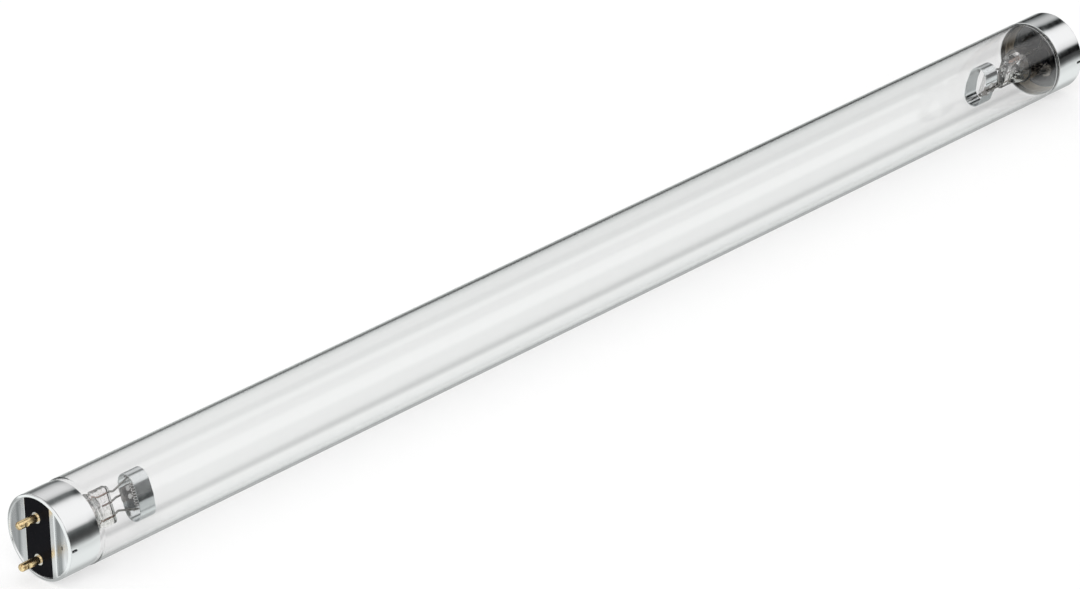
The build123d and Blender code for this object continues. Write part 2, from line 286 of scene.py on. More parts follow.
@dataclass(frozen=True)
class Finish:
    """A surface finish, which builds one material.

    Attributes:
        name: The material's name.
    """

    name: str

    def shader(self, graph: ShaderGraph) -> Node:
        """Builds the surface's shader.

        Args:
            graph: The material's tree.

        Returns:
            The shader.
        """
        raise NotImplementedError

    def material(self) -> bpy.types.Material:
        """Builds the material.

        Returns:
            The material.
        """
        made = bpy.data.materials.new(self.name)
        made.use_nodes = True
        graph = ShaderGraph(made.node_tree)
        graph.add("OutputMaterial", {"Surface": self.shader(graph).outputs[0]})
        return made


@dataclass(frozen=True)
class ClearGlass(Finish):
    """Clear lamp glass with faint draw lines along it, and where given, veins darkened with painted
    shade.

    Attributes:
        tint: The colour of the glass.
        end_tint: The colour near the caps.
        end_reach: The depths between which that colour fades.
        low_tint: The colour of its lower part.
        low_part: How that colour comes in, by the height from the axis.
        index: The refractive index.
        lines: The draw lines' pattern.
        line_depth: How high the lines stand.
        stretch: What their place along the lamp is multiplied by, which draws them out.
        painted_veins: The pattern of darker veins where the glass was pressed while it was soft, darkened
            with painted shade for the darkness that refraction shows there.
        cord_level: The level of that pattern which a vein follows.
        cord: How a vein's painted shade fades, by how far the pattern is from that level.
        cord_tint: The colour of the painted shade in the veins.
    """

    tint: Color = (0.985, 0.99, 0.987)
    end_tint: Color = (0.985, 0.981, 0.982)
    end_reach: tuple[float, float] = (0.012, 0.060)
    low_tint: Color = (0.985, 0.99, 0.987)
    low_part: Ramp = ((0.001, 0.0), (-0.003, 1.0))
    index: float = 1.47
    lines: Grain = Grain(900.0, 1.0)
    line_depth: float = 4e-6
    stretch: float = 0.01
    painted_veins: Grain | None = None
    cord_level: float = 0.5
    cord: Ramp = ((0.008, 1.0), (0.045, 0.0))
    cord_tint: Color = (0.66, 0.66, 0.63)

    def shader(self, graph: ShaderGraph) -> Node:
        """Builds the glass, which lets the lamps' light through to what it encloses.

        Args:
            graph: The material's tree.

        Returns:
            The shader.
        """
        place, (along, across, up) = graph.axes()
        start, end = self.end_reach
        near_cap = graph.spread(graph.depth_from_face(along), (start, 1.0), (end, 0.0), smooth=True)
        low = graph.spread(up, *self.low_part, smooth=True)
        body = graph.blend(low, self.tint, self.low_tint)
        # Veins of painted shade stand in for the darkness that refraction shows in pressed glass.
        if self.painted_veins:
            pattern = graph.noise(place, self.painted_veins)
            off = graph.math("ABSOLUTE", graph.math("SUBTRACT", pattern, self.cord_level))
            body = graph.blend(graph.spread(off, *self.cord, smooth=True), body, self.cord_tint)
        lines = graph.noise(graph.vector(graph.product(along, self.stretch), across, up), self.lines)
        glass = graph.shader(
            "BsdfPrincipled",
            Base_Color=graph.blend(near_cap, body, self.end_tint),
            Roughness=0.0,
            IOR=self.index,
            Transmission_Weight=1.0,
            Normal=graph.relief(lines, self.line_depth),
        )
        in_shadow = graph.add("LightPath").outputs["Is Shadow Ray"]
        return graph.mixed(in_shadow, glass, graph.add("BsdfTransparent"))


STEM_GLASS = ClearGlass(
    "stem_glass",
    tint=(0.975, 0.958, 0.962),
    end_tint=(0.96, 0.945, 0.94),
    end_reach=(0.012, 0.018),
    low_tint=(0.955, 0.96, 0.93),
    index=1.53,
    lines=Grain(520.0),
    line_depth=1.9e-4,
    stretch=0.7,
    # Veins darkened with painted shade, for the dark lines that refraction shows in the press.
    painted_veins=Grain(640.0, 2.0, 0.6),
)


def ease(value: float) -> float:
    """Returns a smooth step from 0 to 1 as a value goes from 0 to 1."""
    held = min(1.0, max(0.0, value))
    return held * held * (3 - 2 * held)


@dataclass(frozen=True)
class StakeMark:
    """A mark punched in the sheet: a short slot with dished flanks and a floor darkened with painted
    shade.

    Sizes are in millimetres.

    Attributes:
        place: How far its middle lies from the cap's face, or from the axis.
        half_length: Half the length of the slot's straight part.
        floor: How far from the slot's middle line the painted shade reaches.
        reach: How far from it the dished flanks reach.
        deep: How deep it is.
        dirt_core: The share of the floor over which the painted shade is full.
        cuts: How finely the sheet is divided for it.
        patch: Half the length and half the width of the sheet that is cut for it.
        skin: How far a point may lie from the sheet's face and still belong to it.
        facing: How squarely a facet has to face outwards, from 0 to 1.
    """

    place: float
    half_length: float
    floor: float
    reach: float
    deep: float
    dirt_core: float = 0.6
    cuts: int = 8
    patch: tuple[float, float] = (3.0, 2.5)
    skin: float = 0.3
    facing: float = 0.7

    def dirt(self, graph: ShaderGraph, along: Socket, beside: Socket) -> Socket:
        """Paints shade into the mark's floor.

        Args:
            graph: The tree to work in.
            along: The place along the slot, from its middle, in metres.
            beside: The place across the slot, in metres.

        Returns:
            How much dirt lies there.
        """
        past = graph.math("SUBTRACT", graph.math("ABSOLUTE", along), self.half_length * MM)
        off = graph.radius(graph.math("MAXIMUM", past, 0.0), beside)
        return graph.spread(off, (self.dirt_core * self.floor * MM, 1.0), (self.floor * MM, 0.0))

    def press(self, shape: Shape, centre: Vector, outward: Vector, along: Vector) -> None:
        """Presses the mark into a sheet.

        Args:
            shape: The sheet, in millimetres.
            centre: The middle of the mark on the sheet's face.
            outward: The way out of that face.
            along: The slot's direction.
        """
        beside, end = outward.cross(along), self.half_length + self.reach

        def local(point: Vector) -> tuple[float, float, float]:
            """Returns a point's place along the slot, beside it and out of the face."""
            offset = point - centre
            return offset.dot(along), offset.dot(beside), offset.dot(outward)

        def faces(length: float, width: float) -> list[bmesh.types.BMFace]:
            """Returns the outer faces whose middles lie within a length and a width."""
            return [
                f
                for f in shape.faces
                for u, v, w in (local(f.calc_center_bounds()),)
                if f.normal.dot(outward) > self.facing
                and abs(u) < length
                and abs(v) < width
                and abs(w) < self.skin
            ]

        for direction, reach in ((along, end), (beside, self.reach)):
            for way in (-1, 1):
                geometry = set()
                for face in faces(*self.patch):
                    geometry.update((face, *face.edges, *face.verts))
                bmesh.ops.bisect_plane(
                    shape,
                    geom=list(geometry),
                    dist=MERGE,
                    plane_co=centre + way * reach * direction,
                    plane_no=direction,
                )
        bmesh.ops.subdivide_edges(
            shape,
            edges=list({e for f in faces(end, self.reach) for e in f.edges}),
            cuts=self.cuts,
            use_grid_fill=True,
        )
        for vertex in shape.verts:
            u, v, w = local(vertex.co)
            off = math.hypot(max(0.0, abs(u) - self.half_length), v)
            if abs(w) < self.skin and off < self.reach:
                vertex.co -= outward * self.deep * (1 - ease(off / self.reach))


SKIRT_MARK = StakeMark(place=1.7, half_length=0.6, floor=0.34, reach=0.55, deep=0.2)
FACE_MARK = StakeMark(place=9.0, half_length=0.4, floor=0.26, reach=0.55, deep=0.15)


@dataclass(frozen=True)
class DrawnAluminium(Finish):
    """Bright aluminium sheet, spun and drawn, with fine rings, pressed streaks and stake marks, a painted
    reflection on the pressed face and painted shade in the marks.

    Attributes:
        color: The metal's colour.
        smudge: The metal's colour where it is smudged.
        face_reflection_dark: The darkest streaks of the pressed face, where its painted reflection is
            darkest.
        face_reflection_light: Its lightest streaks, where its painted reflection is lightest.
        face_painted_reflection: The painted reflection: how light the face is, by the place across it,
            towards the viewer's side.
        face_start: Where the face starts behind the lips, by depth.
        face_end: Where it ends, by depth.
        front: What counts as the front of the cap, by depth.
        dull: Where the front's haze ends, by depth.
        dull_part: How far the haze reaches, by radius.
        haze: How much rougher the haze is.
        flank: Where the skirt's flanks start, by the place across the pins.
        dirt: The near-black painted shade in the floors of the stake marks.
        polish: The roughness, by the smudges.
        smudges: The smudges' pattern.
        rings: The pattern of the spun rings.
        ring_depth: How high the rings stand.
        streaks: The pattern of the face's streaks.
        streak_depth: How high the streaks stand.
        streak_light: How light they are, which scales the painted reflection.
        stretch: What their place along the pins' line is multiplied by, which draws them out.
    """

    color: Color = (0.90, 0.905, 0.91)
    smudge: Color = (0.873, 0.87785, 0.8827)
    face_reflection_dark: Color = (0.30, 0.315, 0.32)
    face_reflection_light: Color = (0.93, 0.935, 0.95)
    # Painted reflection: light and dark bands across the pressed face, by the side towards the viewer.
    face_painted_reflection: tuple[Stop, ...] = (
        (-0.0120, 0.95), (-0.0106, 0.85), (-0.0096, 0.62), (-0.0088, 0.36), (-0.0081, 0.34),
        (-0.0075, 0.72), (-0.0069, 0.75), (0.0069, 0.45), (0.0073, 0.12), (0.0085, 0.16),
        (0.0092, 0.60), (0.0098, 0.95), (0.0120, 1.0),
    )
    face_start: Ramp = ((0.00033, 0.0), (0.00039, 1.0))
    face_end: Ramp = ((0.00047, 1.0), (0.00053, 0.0))
    front: Ramp = ((0.0006, 1.0), (0.0008, 0.0))
    dull: Ramp = ((0.0005, 1.0), (0.0006, 0.0))
    dull_part: Ramp = ((0.0116, 1.0), (0.0118, 0.0))
    haze: float = 0.16
    flank: Ramp = ((0.0120, 0.0), (0.0122, 1.0))
    # Near-black painted shade for the floors of the stake marks.
    dirt: Color = (0.02, 0.02, 0.025)
    polish: Ramp = ((0.35, 0.08), (0.7, 0.18))
    smudges: Grain = Grain(260.0, 3.0, 0.55)
    rings: Grain = Grain(5200.0, 2.0, 0.6)
    ring_depth: float = 1.5e-6
    streaks: Grain = Grain(520.0)
    streak_depth: float = 1.1e-4
    streak_light: Ramp = ((0.36, 0.55), (0.62, 1.15))
    stretch: float = 0.12

    def painted_mark_shade(self, graph: ShaderGraph, depth: Socket, across: Socket, up: Socket) -> Socket:
        """Paints shade into the floors of the stake marks of the skirt and of the face.

        Args:
            graph: The tree to work in.
            depth: The depth from the cap's face.
            across: The place across the pins.
            up: The place along the line of the pins.

        Returns:
            How much painted shade lies there.
        """
        from_middle = graph.math("ABSOLUTE", across)
        past_skirt = graph.math("SUBTRACT", depth, SKIRT_MARK.place * MM)
        skirt = graph.product(
            SKIRT_MARK.dirt(graph, past_skirt, up), graph.spread(from_middle, *self.flank)
        )
        past_face = graph.math("SUBTRACT", from_middle, FACE_MARK.place * MM)
        face = graph.product(
            FACE_MARK.dirt(graph, up, past_face), graph.spread(depth, *self.front)
        )
        return graph.math("MAXIMUM", skirt, face)

    def shader(self, graph: ShaderGraph) -> Node:
        """Builds the metal.

        Args:
            graph: The material's tree.

        Returns:
            The shader.
        """
        place, (along, across, up) = graph.axes()
        depth, radius = graph.depth_from_face(along), graph.radius(across, up)
        smudges = graph.noise(place, self.smudges)
        rings = graph.noise(graph.vector(along, radius, 0.0), self.rings)
        streaks = graph.noise(
            graph.vector(0.0, across, graph.product(up, self.stretch)), self.streaks
        )
        on_face = graph.product(
            graph.spread(depth, *self.face_start), graph.spread(depth, *self.face_end)
        )
        # The pressed face gets a painted reflection, banded by the side towards the viewer and broken by
        # the streaks.
        near_side = graph.product(across, graph.math("SIGN", along))
        painted_reflection = graph.product(
            graph.levels(near_side, self.face_painted_reflection), graph.spread(streaks, *self.streak_light)
        )
        streaks_and_painted_reflection = graph.blend(painted_reflection, self.face_reflection_dark, self.face_reflection_light)
        before_mark_shade = graph.blend(on_face, graph.blend(smudges, self.smudge, self.color), streaks_and_painted_reflection)
        hazy = graph.product(
            graph.spread(depth, *self.dull), graph.spread(radius, *self.dull_part), self.haze
        )
        height = graph.math(
            "ADD",
            graph.product(rings, self.ring_depth),
            graph.product(streaks, on_face, self.streak_depth),
        )
        # The floors of the stake marks get painted shade over the metal.
        return graph.shader(
            "BsdfPrincipled",
            Metallic=1.0,
            Base_Color=graph.blend(self.painted_mark_shade(graph, depth, across, up), before_mark_shade, self.dirt),
            Roughness=graph.math("ADD", graph.spread(smudges, *self.polish), hazy),
            Normal=graph.relief(height, 1.0),
        )


@dataclass(frozen=True)
class ShieldStrip(Finish):
    """Bright rolled strip with faint rolling lines and a heat tint round its welds.

    Attributes:
        color: The strip's colour.
        heat: The tint round the welds.
        nugget: The welds' own colour.
        heated: How much of the tint shows, by the weld mark.
        patchy: How much of it shows, by the cloud.
        welded: What counts as a weld, by the weld mark.
        metal: How metallic the surface is, outside and inside a weld.
        cloud: The pattern of duller patches.
        dullness: The roughness, by the cloud.
        rolled: The pattern of the rolling lines.
        roll_depth: How high they stand.
        stretch: What their place along the strip is multiplied by, which draws them out.
    """

    color: Color = (0.74, 0.76, 0.77)
    heat: Color = (0.40, 0.35, 0.33)
    nugget: Color = (0.95, 0.95, 0.94)
    heated: Ramp = ((0.05, 0.0), (0.45, 0.8))
    patchy: Ramp = ((0.35, 0.5), (0.6, 1.0))
    welded: Ramp = ((0.62, 0.0), (0.74, 1.0))
    metal: Ramp = ((0.0, 1.0), (1.0, 0.25))
    cloud: Grain = Grain(520.0, 3.0, 0.6)
    dullness: Ramp = ((0.35, 0.10), (0.7, 0.22))
    rolled: Grain = Grain(8000.0)
    roll_depth: float = 2e-6
    stretch: float = 0.03

    def shader(self, graph: ShaderGraph) -> Node:
        """Builds the strip's metal, which reads the piece's own weld attribute.

        Args:
            graph: The material's tree.

        Returns:
            The shader.
        """
        place, (along, _, up) = graph.axes()
        rolled = graph.noise(graph.vector(along, 0.0, graph.product(up, self.stretch)), self.rolled)
        cloud = graph.noise(place, self.cloud)
        weld = graph.add("Attribute", attribute_name=WELD).outputs["Fac"]
        nugget = graph.spread(weld, *self.welded)
        halo = graph.product(
            graph.spread(weld, *self.heated, smooth=True), graph.spread(cloud, *self.patchy)
        )
        tinted = graph.blend(halo, self.color, self.heat)
        return graph.shader(
            "BsdfPrincipled",
            Metallic=graph.spread(nugget, *self.metal),
            Base_Color=graph.blend(nugget, tinted, self.nugget),
            Roughness=graph.spread(cloud, *self.dullness),
            Normal=graph.relief(rolled, self.roll_depth),
        )


@dataclass(frozen=True)
class Mottled(Finish):
    """A surface with patches of a second colour and a fine pattern that stands up.

    Attributes:
        color: Its colour.
        patch: The colour of the patches.
        patches: The patches' pattern.
        patchy: How much of their colour shows, by that pattern.
        dullness: The roughness, fixed or by the clouds.
        raised: How high the marks stand in metres, and how much of that shows.
        clouds: The pattern of duller parts, where that isn't the patches'.
        marks: The pattern that stands up, where that isn't the patches'.
        stretch: What the marks' place along the lamp is multiplied by, which draws them out.
        metal: How metallic the surface is, fixed or by how much of the patches shows.
        gloss: The strength of reflections where it isn't metal.
        band: The colour of a part that lies at one depth from the cap's face.
        band_part: How much of the band shows, by the depth.
    """

    color: Color
    patch: Color
    patches: Grain
    patchy: Ramp
    dullness: Ramp | float
    raised: tuple[float, float]
    clouds: Grain | None = None
    marks: Grain | None = None
    stretch: float = 1.0
    metal: Ramp | float = 1.0
    gloss: float = 0.5
    band: Color | None = None
    band_part: tuple[Ramp, ...] = ()

    def shader(self, graph: ShaderGraph) -> Node:
        """Builds the surface.

        Args:
            graph: The material's tree.

        Returns:
            The shader.
        """
        place, (along, across, up) = graph.axes()
        patches = clouds = marks = graph.noise(place, self.patches)
        if self.clouds:
            clouds = graph.noise(place, self.clouds)
        if self.marks:
            stretched = graph.vector(graph.product(along, self.stretch), across, up)
            marks = graph.noise(stretched, self.marks)
        share = graph.spread(patches, *self.patchy)
        body = graph.blend(share, self.color, self.patch)
        if self.band:
            depth = graph.depth_from_face(along)
            parts = (graph.spread(depth, *part) for part in self.band_part)
            body = graph.blend(graph.product(*parts), body, self.band)
        return graph.shader(
            "BsdfPrincipled",
            Base_Color=body,
            Metallic=graph.amount(share, self.metal),
            Roughness=graph.amount(clouds, self.dullness),
            Specular_IOR_Level=self.gloss,
            Normal=graph.relief(marks, *self.raised),
        )


MOULDED_PHENOLIC = Mottled(
    "cap_phenolic",
    color=(0.0035, 0.0035, 0.0055),
    patch=(0.030, 0.022, 0.026),
    patches=Grain(2600.0, 3.0, 0.65),
    patchy=((0.6, 0.0), (0.78, 1.0)),
    dullness=((0.3, 0.30), (0.7, 0.46)),
    raised=(2.5e-5, 0.5),
    clouds=Grain(420.0),
    metal=0.0,
    gloss=0.05,
)
PIN_BRASS = Mottled(
    "pin_brass",
    color=(0.95, 0.74, 0.42),
    patch=(0.40, 0.20, 0.06),
    patches=Grain(900.0, 3.0, 0.6),
    patchy=((0.5, 0.0), (0.68, 1.0)),
    dullness=((0.35, 0.14), (0.7, 0.34)),
    raised=(8e-6, 0.6),
    marks=Grain(4200.0),
    band=(0.92, 0.89, 0.82),
    band_part=(((-0.00043, 0.0), (-0.00038, 1.0)),),
)
BAKED_CEMENT = Mottled(
    "capping_cement",
    color=(0.40, 0.33, 0.24),
    patch=(0.62, 0.55, 0.43),
    patches=Grain(3400.0, 4.0, 0.6),
    patchy=((0.35, 0.0), (0.65, 1.0)),
    dullness=0.9,
    raised=(8e-5, 1.0),
    metal=0.0,
)
LEAD_NICKEL = Mottled(
    "lead_nickel",
    color=(0.42, 0.41, 0.39),
    patch=(0.20, 0.19, 0.18),
    patches=Grain(700.0, 3.0, 0.6),
    patchy=((0.42, 0.0), (0.7, 1.0)),
    dullness=((0.3, 0.26), (0.7, 0.44)),
    raised=(6e-6, 1.0),
    marks=Grain(9000.0),
    stretch=0.12,
    band=(0.40, 0.25, 0.19),
    band_part=(((0.0187, 0.0), (0.0195, 1.0)), ((0.0254, 1.0), (0.0262, 0.0))),
)
COATED_TUNGSTEN = Mottled(
    "coated_tungsten",
    color=(0.60, 0.59, 0.57),
    patch=(0.98, 0.98, 0.96),
    patches=Grain(5200.0, 3.0, 0.6),
    patchy=((0.30, 0.0), (0.42, 1.0)),
    dullness=0.45,
    raised=(2e-5, 1.0),
    metal=((0.0, 0.9), (1.0, 0.0)),
)


@dataclass(frozen=True)
class PaleFloor(Finish):
    """White paper, which reflections show with the studio's dark gaps and a painted shadow under the
    lamp, and which shows a painted contact shadow through the glass.

    Places are its X or Y in metres.

    Attributes:
        gloss: What reflections show of it, by Y, with a painted shadow under the lamp.
        tint: Its colour in reflections.
        through: What shows of it through glass, by Y, with a painted contact shadow just behind the line
            where the tube touches it.
        ahead: What reflections show of it in front of the near cap, by Y.
        ahead_part: Where that starts, by X.
        whitens: Where it turns white, by X.
        glow: How much of its white is its own.
        scatter: Its colour as a light on matt surfaces.
    """

    # The dip around Y = 0 is a painted shadow under the lamp, seen in reflections.
    gloss: tuple[Stop, ...] = (
        (-0.19, 0.05), (-0.09, 0.07), (-0.06, 0.17), (-0.045, 0.46), (-0.036, 0.78),
        (-0.030, 0.76), (-0.020, 0.90), (-0.0125, 0.88), (-0.0105, 0.68), (-0.009, 0.50),
        (0.0, 0.46), (0.009, 0.60), (0.03, 0.80), (0.056, 0.80), (0.074, 0.66), (0.107, 0.42),
        (0.19, 0.20),
    )
    tint: Color = (0.965, 1.0, 0.99)
    # The dip just behind the line where the tube touches is a painted contact shadow, seen through the
    # glass.
    through: tuple[Stop, ...] = (
        (-0.02, 1.0), (0.0025, 1.0), (0.0044, 0.76), (0.0054, 0.76), (0.0072, 0.97),
        (0.0100, 0.97), (0.0180, 0.92), (0.0270, 0.87), (0.06, 0.87),
    )
    ahead: tuple[Stop, ...] = (
        (-0.020, 1.0), (-0.002, 1.0), (0.006, 0.74), (0.012, 0.64), (0.022, 0.56), (0.032, 0.44),
        (0.050, 0.36),
    )
    ahead_part: Ramp = ((-0.2267, 1.0), (-0.2217, 0.0))
    whitens: Ramp = ((-0.2787, 1.0), (-0.2487, 0.0))
    glow: float = 0.6
    scatter: Color = (0.8, 0.8, 0.8)

    def shader(self, graph: ShaderGraph) -> Node:
        """Builds the paper.

        Args:
            graph: The material's tree.

        Returns:
            The shader.
        """
        _, (along, across, _) = graph.axes()
        # Through glass the paper shows a painted contact shadow behind the tube.
        through = graph.levels(across, self.through)
        seen = graph.blend(graph.bounced("Transmission"), WHITE, through)
        paper, own = graph.shader("BsdfDiffuse", Color=seen), graph.shader("Emission", Color=seen)
        whiter = graph.spread(along, *self.whitens, smooth=True)
        near_floor = graph.blend(whiter, graph.levels(across, self.ahead), WHITE)
        in_front = graph.spread(along, *self.ahead_part, smooth=True)
        level = graph.blend(in_front, graph.levels(across, self.gloss), near_floor)
        return graph.by_ray(
            graph.mixed(self.glow, paper, own),
            graph.shader("Emission", Color=self.tint, Strength=level),
            graph.shader("BsdfDiffuse", Color=self.scatter),
        )


def softened(points: list[Vector], rounds: int) -> list[Vector]:
    """Rounds the corners of a finely stepped line and keeps its ends.

    Args:
        points: The line's points.
        rounds: How often each point moves towards its neighbours.

    Returns:
        The rounded line.
    """
    for _ in range(rounds):
        inner = [(a + 2 * b + c) / 4 for a, b, c in zip(points, points[1:], points[2:])]
        points = [points[0], *inner, points[-1]]
    return points


def stepped(corners: list[Vector], step: float) -> list[Vector]:
    """Divides a line's runs into steps of about one length.

    Args:
        corners: The line's corners.
        step: The length of a step.

    Returns:
        The line's points.
    """
    points = [corners[0]]
    for a, b in zip(corners, corners[1:]):
        count = max(1, round((b - a).length / step))
        points += [a.lerp(b, (i + 1) / count) for i in range(count)]
    return points


def bevel(shape: Shape, parts: Parts, reach: float, affect: str, segments: int) -> None:
    """Rounds points or edges of a mesh.

    Args:
        shape: The mesh.
        parts: The points or the edges.
        reach: How far from them the rounding starts.
        affect: VERTICES or EDGES.
        segments: How many facets the rounding gets.
    """
    bmesh.ops.bevel(
        shape,
        geom=parts,
        offset=reach,
        offset_type="OFFSET",
        affect=affect,
        segments=segments,
        profile=0.5,
        material=-1,
    )


def turned(corners: list[Corner], segments: int, steps: int) -> Shape:
    """Draws a line in the plane of X and Z, rounds its corners and turns it about X.

    Args:
        corners: The X and Z of each corner, with how far it is rounded.
        segments: How many facets a rounded corner gets.
        steps: How many facets go round.

    Returns:
        The surface.
    """
    shape = bmesh.new()
    points = [shape.verts.new((x, 0, z)) for x, z, _ in corners]
    for a, b in zip(points, points[1:]):
        shape.edges.new((a, b))
    for reach in sorted({corner for _, _, corner in corners if corner}):
        parts = [p for p, (_, _, corner) in zip(points, corners) if corner == reach]
        bevel(shape, parts, reach, "VERTICES", segments)
    bmesh.ops.spin(
        shape,
        geom=list(shape.verts) + list(shape.edges),
        cent=(0, 0, 0),
        axis=(1, 0, 0),
        angle=2 * math.pi,
        steps=steps,
        use_merge=True,
    )
    return shape


class Lamp:
    """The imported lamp, whose nodes are dressed or stood for by finer pieces."""

    def __init__(self, frame: dict) -> None:
        self.nodes: dict[str, bpy.types.Object] = frame["nodes"]

    def dress(self, node: str, finish: bpy.types.Material) -> None:
        """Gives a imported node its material.

        Args:
            node: The node's name.
            finish: Its material.
        """
        materials = self.nodes[node].data.materials
        materials.clear()
        materials.append(finish)
        log.info("dressed %s with %s", node, finish.name)

    def add(
        self,
        name: str,
        shape: Shape,
        matrix: Matrix,
        finish: bpy.types.Material,
        slot: str,
        node: str,
        crease: float = 180.0,
    ) -> None:
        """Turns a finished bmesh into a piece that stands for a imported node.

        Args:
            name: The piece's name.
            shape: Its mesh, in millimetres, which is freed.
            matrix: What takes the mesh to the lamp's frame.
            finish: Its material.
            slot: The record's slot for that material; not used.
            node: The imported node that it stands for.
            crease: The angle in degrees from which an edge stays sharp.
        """
        mesh = bpy.data.meshes.new(name)
        bmesh.ops.transform(shape, matrix=matrix, verts=shape.verts)
        bmesh.ops.recalc_face_normals(shape, faces=shape.faces)
        shape.to_mesh(mesh)
        shape.free()
        mesh.shade_smooth()
        mesh.set_sharp_from_angle(angle=math.radians(crease))
        mesh.materials.append(finish)
        piece = bpy.data.objects.new(name, mesh)
        bpy.context.scene.collection.objects.link(piece)
        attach(piece, BODY)
        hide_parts(node)
        log.info("made %s with %d faces", name, len(mesh.polygons))


@dataclass
class Envelope:
    """The clear glass tube, necked at both ends for its caps.

    Sizes are in millimetres, and places along the lamp are measured from its centre.

    Attributes:
        glass: Its finish.
        wall: The thickness of the glass.
        end: Where the tube ends.
        seam_radius: The radius at which the end meets the stem.
        neck_radius: The radius under the cap.
        neck_corner: The radius of the neck's outer corner.
        shoulder: Where the neck starts to widen.
        shoulder_length: The length over which it widens.
        shoulder_corner: The radius at both ends of the shoulder.
        settle: How far past the shoulder the straight wall has its first two rings.
        turn_steps: How many facets go round.
        corner_steps: How many facets round a corner.
    """

    glass: Finish = ClearGlass("envelope_glass")
    wall: float = 0.8
    end: float = 213.9
    seam_radius: float = 9.0
    neck_radius: float = 12.0
    neck_corner: float = 2.9
    shoulder: float = 208.0
    shoulder_length: float = 1.7
    shoulder_corner: float = 0.5
    settle: tuple[float, float] = (1.5, 4.5)
    turn_steps: int = 160
    corner_steps: int = 10

    def build(self, lamp: Lamp) -> None:
        """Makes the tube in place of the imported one.

        Args:
            lamp: The lamp.
        """
        tube, straight = TUBE_RADIUS / MM, self.shoulder - self.shoulder_length
        half = [
            (self.end, self.seam_radius, 0.0),
            (self.end, self.neck_radius, self.neck_corner),
            (self.shoulder, self.neck_radius, self.shoulder_corner),
            (straight, tube, self.shoulder_corner),
            *((straight - past, tube, 0.0) for past in self.settle),
        ]
        corners = [(-x, z, corner) for x, z, corner in half] + half[::-1]
        shape = turned(corners, self.corner_steps, self.turn_steps)
        bmesh.ops.recalc_face_normals(shape, faces=shape.faces)
        bmesh.ops.solidify(shape, geom=list(shape.faces), thickness=self.wall)
        glass = self.glass.material()
        lamp.add("drawn_glass_tube", shape, Matrix.Scale(MM, 4), glass, "clear_glass", "glass_tube")


@dataclass
class Fittings:
    """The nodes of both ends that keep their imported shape.

    Attributes:
        finishes: The last words of the nodes' names, with their finish.
    """

    finishes: tuple[tuple[tuple[str, ...], Finish], ...] = (
        (("cap_insulator",), MOULDED_PHENOLIC),
        (("capping_cement",), BAKED_CEMENT),
        (("contact_pin_upper", "contact_pin_lower"), PIN_BRASS),
        (("stem",), STEM_GLASS),
        (("shield_support", "lead_wire_upper", "lead_wire_lower"), LEAD_NICKEL),
    )

    def build(self, lamp: Lamp) -> None:
        """Dresses the insulators, cement, pins, stems and wires.

        Args:
            lamp: The lamp.
        """
        for nodes, finish in self.finishes:
            material = finish.material()
            for side in Side:
                for node in nodes:
                    lamp.dress(f"{side.word}_{node}", material)


@dataclass
class EndPiece:
    """A finer piece at each end, drawn as depth, across and up in millimetres.

    Attributes:
        name: The last words of the pieces' names.
        node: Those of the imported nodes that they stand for.
        slot: The record's slot for the material.
        finish: The finish.
        crease: The angle in degrees from which an edge stays sharp.
        turn: How far they are turned about the lamp's axis, in degrees.
    """

    name: str
    node: str
    slot: str
    finish: Finish
    crease: float = 180.0
    turn: float = MOUNT_TURN

    def shape(self) -> Shape:
        """Draws the piece."""
        raise NotImplementedError

    def build(self, lamp: Lamp) -> None:
        """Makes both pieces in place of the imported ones.

        Args:
            lamp: The lamp.
        """
        finish = self.finish.material()
        for side in Side:
            name, node = f"{side.word}_{self.name}", f"{side.word}_{self.node}"
            lamp.add(name, self.shape(), side.frame(self.turn), finish, self.slot, node, self.crease)


